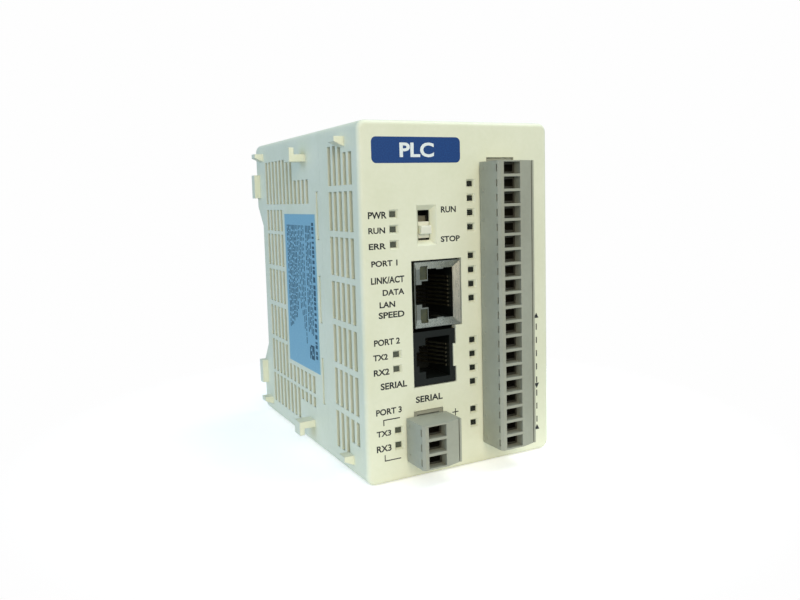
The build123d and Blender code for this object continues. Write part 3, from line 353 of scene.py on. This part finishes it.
def print_column(y, thick, foot, head, shortest, longest, gap):
    """One line of print, run down the label: bars of uneven length from head to foot."""
    down = head
    while down - foot > longest:
        run = random.uniform(shortest, longest)
        bars.append([(y, down - run), (y, down), (y + thick, down), (y + thick, down - run)])
        down -= run + gap * random.choice((1.0, 1.0, 2.4))


print_column(label_front + 1.0, 1.5, label_foot + 2.0, label_head - 2.2, 0.5, 1.5, 0.3)
for line in range(4):
    print_column(label_front + 3.3 + 1.05 * line, 0.55, label_foot + 9.0, label_head - 3.0, 0.6, 2.2, 0.35)
for line in range(5):
    print_column(label_front + 8.4 + 1.15 * line, 0.5, label_foot + 6.0 + 3.2 * line, label_head - 3.0,
                 0.5, 1.8, 0.35)
for line in range(7):
    print_column(label_front + 14.2 + 1.1 * line, 0.62, label_foot + 14.0 - line, label_head - 3.0,
                 0.5, 1.6, 0.28)
square, square_pitch = 0.56, 0.55
for across in range(6):
    for up in range(7):
        if random.random() < 0.72:
            y, z = label_front + 3.4 + square_pitch * across, label_foot + 3.2 + square_pitch * up
            bars.append([(y, z), (y, z + square), (y + square, z + square), (y + square, z)])
label_print = flat_piece("label_print", bars,
                         lambda y, z: (label_low.x - ink_h, y * millimetre, z * millimetre))
label_print.data.materials.append(ink("dark blue label ink", "184A60", "2F637C"))
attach(label_print, "housing")

# --------------------------------------------------------------------------- rail clip and locks
# The clip that holds the module on its rail and the two slides that lock it to the next module
# are acetal mouldings, a shade greyer and slicker than the case so that they slide.
rail_acetal = moulded("white acetal", {"Roughness": 0.36, "IOR": 1.48}, "DEDCCB", "E8E6D8", "F4F3EA",
                      0.5, 0.006, 0.2)
dress(["din_clip", "upper_lock", "lower_lock"], rail_acetal)

# --------------------------------------------------------------------------- terminal plugs
# Pluggable terminal blocks and the pin headers behind them, moulded in grey glass-filled
# polyamide 66 with a dull, slightly fibrous surface. The plugs push onto the headers.
plug_pa66 = moulded("grey polyamide 66", {"Roughness": 0.55, "IOR": 1.53}, "9A9B8D", "A7A99B", "BBBDAF",
                    0.25, 0.010, 0.12)
dress(["plug_20_body", "plug_3_body", "header_20", "header_3"], plug_pa66)

# --------------------------------------------------------------------------- plated metal
# Contacts are tin-plated brass, screws are zinc-plated steel, and the jack's shield is nickel-plated steel strip,
# bent to shape. Jack contacts are gold over bronze. The clamp cages are coloured dark grey as painted shade, which
# stands for the shade deep in the terminal cells.


def plated(name, bright, dull, roughness, scratch_mm):
    """Plated metal: a bright colour, duller where the plating is thin, with fine handling marks."""
    made, tree, shader = start(name, {"Metallic": 1.0, "Roughness": roughness})
    coords = add(tree, "ShaderNodeTexCoord")
    thin = add(tree, "ShaderNodeTexNoise", {"Scale": 1 / (2.2 * millimetre), "Detail": 5.0},
               {"Vector": coords.outputs["Object"]})
    tone = add(tree, "ShaderNodeMix", {"data_type": "RGBA", 6: linear(bright), 7: linear(dull)},
               {0: thin.outputs["Fac"]})
    tree.links.new(tone.outputs[2], shader.inputs["Base Color"])
    stretched = add(tree, "ShaderNodeMapping", {"Scale": (1.0, 1.0, 0.08)}, {"Vector": coords.outputs["Object"]})
    scratch = add(tree, "ShaderNodeTexNoise", {"Scale": 1 / (scratch_mm * millimetre), "Detail": 3.0},
                  {"Vector": stretched.outputs["Vector"]})
    gloss = add(tree, "ShaderNodeMapRange", {"To Min": roughness - 0.1, "To Max": roughness + 0.14},
                {"Value": scratch.outputs["Fac"]})
    tree.links.new(gloss.outputs["Result"], shader.inputs["Roughness"])
    raised = add(tree, "ShaderNodeBump", {"Strength": 0.5, "Distance": 0.004 * millimetre},
                 {"Height": scratch.outputs["Fac"]})
    tree.links.new(raised.outputs["Normal"], shader.inputs["Normal"])
    return made


tin_brass = plated("tin-plated brass", "C9C3B4", "A79F8C", 0.34, 0.3)
dress(["plug_20_contacts", "plug_3_contacts", "header_20_pins", "header_3_pins", "expansion_contacts"], tin_brass)
# The cage colours are painted shade: both dark greys stand for the shade deep in the terminal cells round the cages.
dress(["plug_20_cages", "plug_3_cages"], plated("steel cage darkened as painted shade", "6C6A60", "4A4842", 0.45, 0.3))
dress(["plug_20_screws", "plug_3_screws"], plated("zinc-plated steel", "C4C6C8", "9EA0A0", 0.30, 0.25))
dress(["network_jack_shield"], plated("nickel-plated steel strip", "BDBBB0", "A09D90", 0.27, 0.25))
dress(["network_jack_contacts", "serial_jack_contacts"], plated("gold over bronze", "B9B49A", "7F7A62", 0.30, 0.2))

# --------------------------------------------------------------------------- black mouldings
# The jack bodies, the switch's body and the expansion socket are black PBT with glass fibre:
# hard edges and a low gloss, so that the cavities stay dark.
black_pbt = moulded("black PBT", {"Roughness": 0.46, "IOR": 1.57, "Specular IOR Level": 0.3},
                    "0A0E0B", "121714", "242A26", 0.2, 0.006, 0.1)
dress(["network_jack_insert", "serial_jack_body", "expansion_connector", "switch_body"], black_pbt)

# --------------------------------------------------------------------------- lamps and windows
# The lamp lenses are smoked acrylic bars that carry light from lamps on the boards. Unlit,
# they look almost black. The jack's two windows are tinted, a dull green that turns to olive.


def tinted(name, low, high, roughness):
    """Tinted clear plastic, seen unlit: a deep even colour with a polished top coat."""
    made, tree, shader = start(name, {"Roughness": roughness, "IOR": 1.49,
                                      "Coat Weight": 0.5, "Coat Roughness": 0.05})
    coords = add(tree, "ShaderNodeTexCoord")
    depth = add(tree, "ShaderNodeTexNoise", {"Scale": 1 / (1.5 * millimetre), "Detail": 2.0},
                {"Vector": coords.outputs["Object"]})
    tone = add(tree, "ShaderNodeMix", {"data_type": "RGBA", 6: linear(low), 7: linear(high)},
               {0: depth.outputs["Fac"]})
    tree.links.new(tone.outputs[2], shader.inputs["Base Color"])
    return made


dress(["io_light_guide"], tinted("dark smoked acrylic", "0E110D", "1D2119", 0.25))
dress(["status_light_guide"], tinted("grey smoked acrylic", "3E443B", "5E6152", 0.25))
dress(["network_jack_windows"], tinted("green tinted polycarbonate", "2A3530", "5B5A3A", 0.2))
dress(["status_lamps", "io_lamps"], tinted("water-clear epoxy", "C9D6C8", "E2EAE0", 0.15))

# --------------------------------------------------------------------------- mode switch
# The slide switch has a natural acetal handle, milky and slightly waxy, on a grey acetal
# carriage that fills the slot round it.
dress(["switch_knob"],
      moulded("natural acetal", {"Roughness": 0.35, "IOR": 1.48, "Subsurface Weight": 0.05}, "E3E0CE", "EDEBDC",
              "F6F5EC", 0.3, 0.005, 0.12))
dress(["switch_carriage"],
      moulded("grey acetal", {"Roughness": 0.4, "IOR": 1.48}, "747264", "838172", "9C9A8A", 0.3, 0.005, 0.12))

# --------------------------------------------------------------------------- boards
# Three circuit boards in green solder mask over glass-fibre laminate, with copper tracks that
# show as a lighter green and tinned pads.
fr4, tree, shader = start("green solder mask on FR-4", {"Roughness": 0.32, "IOR": 1.55, "Coat Weight": 0.2})
coords = add(tree, "ShaderNodeTexCoord")
tracks = add(tree, "ShaderNodeTexVoronoi", {"distance": "MANHATTAN", "feature": "DISTANCE_TO_EDGE",
                                            "Scale": 1 / (4.5 * millimetre)}, {"Vector": coords.outputs["Object"]})
copper = add(tree, "ShaderNodeMapRange", {"From Min": 0.05, "From Max": 0.07, "To Min": 1.0, "To Max": 0.0},
             {"Value": tracks.outputs["Distance"]})
green = add(tree, "ShaderNodeMix", {"data_type": "RGBA", 6: linear("1B5236"), 7: linear("3B7A50")},
            {0: copper.outputs["Result"]})
pads = add(tree, "ShaderNodeTexVoronoi", {"feature": "F1", "Scale": 1 / (2.6 * millimetre)},
           {"Vector": coords.outputs["Object"]})
pad = add(tree, "ShaderNodeMapRange", {"From Min": 0.17, "From Max": 0.14, "To Min": 0.0, "To Max": 1.0},
          {"Value": pads.outputs["Distance"]})
board = add(tree, "ShaderNodeMix", {"data_type": "RGBA", 7: linear("BDB9A6")},
            {0: pad.outputs["Result"], 6: green.outputs[2]})
tree.links.new(board.outputs[2], shader.inputs["Base Color"])
raised = add(tree, "ShaderNodeBump", {"Strength": 0.6, "Distance": 0.03 * millimetre},
             {"Height": copper.outputs["Result"]})
tree.links.new(raised.outputs["Normal"], shader.inputs["Normal"])
dress(["cpu_board", "io_board", "power_board"], fr4)

# --------------------------------------------------------------------------- board parts
# Chips are matt black epoxy, relays blue-grey boxed mouldings, capacitors bare aluminium cans,
# the inductor bare ferrite, and the board-to-board links natural nylon. All are soldered down.
dress(["ethernet_chip", "main_processor", "memory_chip", "analog_chip", "output_driver", "ethernet_transformer"],
      moulded("black epoxy", {"Roughness": 0.6, "IOR": 1.55}, "1A1B1D", "26272A", "3C3D40", 0.25, 0.008, 0.1))
dress(["relays"],
      moulded("blue-grey PBT", {"Roughness": 0.4, "IOR": 1.55}, "3F4E63", "4A5A70", "65748A", 0.3, 0.006, 0.2))
dress(["filter_capacitors", "backup_capacitor"], plated("aluminium can", "C7C9CB", "9FA3A6", 0.32, 0.3))
dress(["power_inductor"],
      moulded("bare ferrite", {"Roughness": 0.7, "IOR": 1.6}, "2C2B2B", "3A3837", "4D4A48", 0.4, 0.03, 0.3))
dress(["cpu_io_link", "io_power_link"],
      moulded("natural nylon", {"Roughness": 0.45, "IOR": 1.53}, "D5D0BC", "E0DCCB", "ECE9DC", 0.3, 0.008, 0.15))
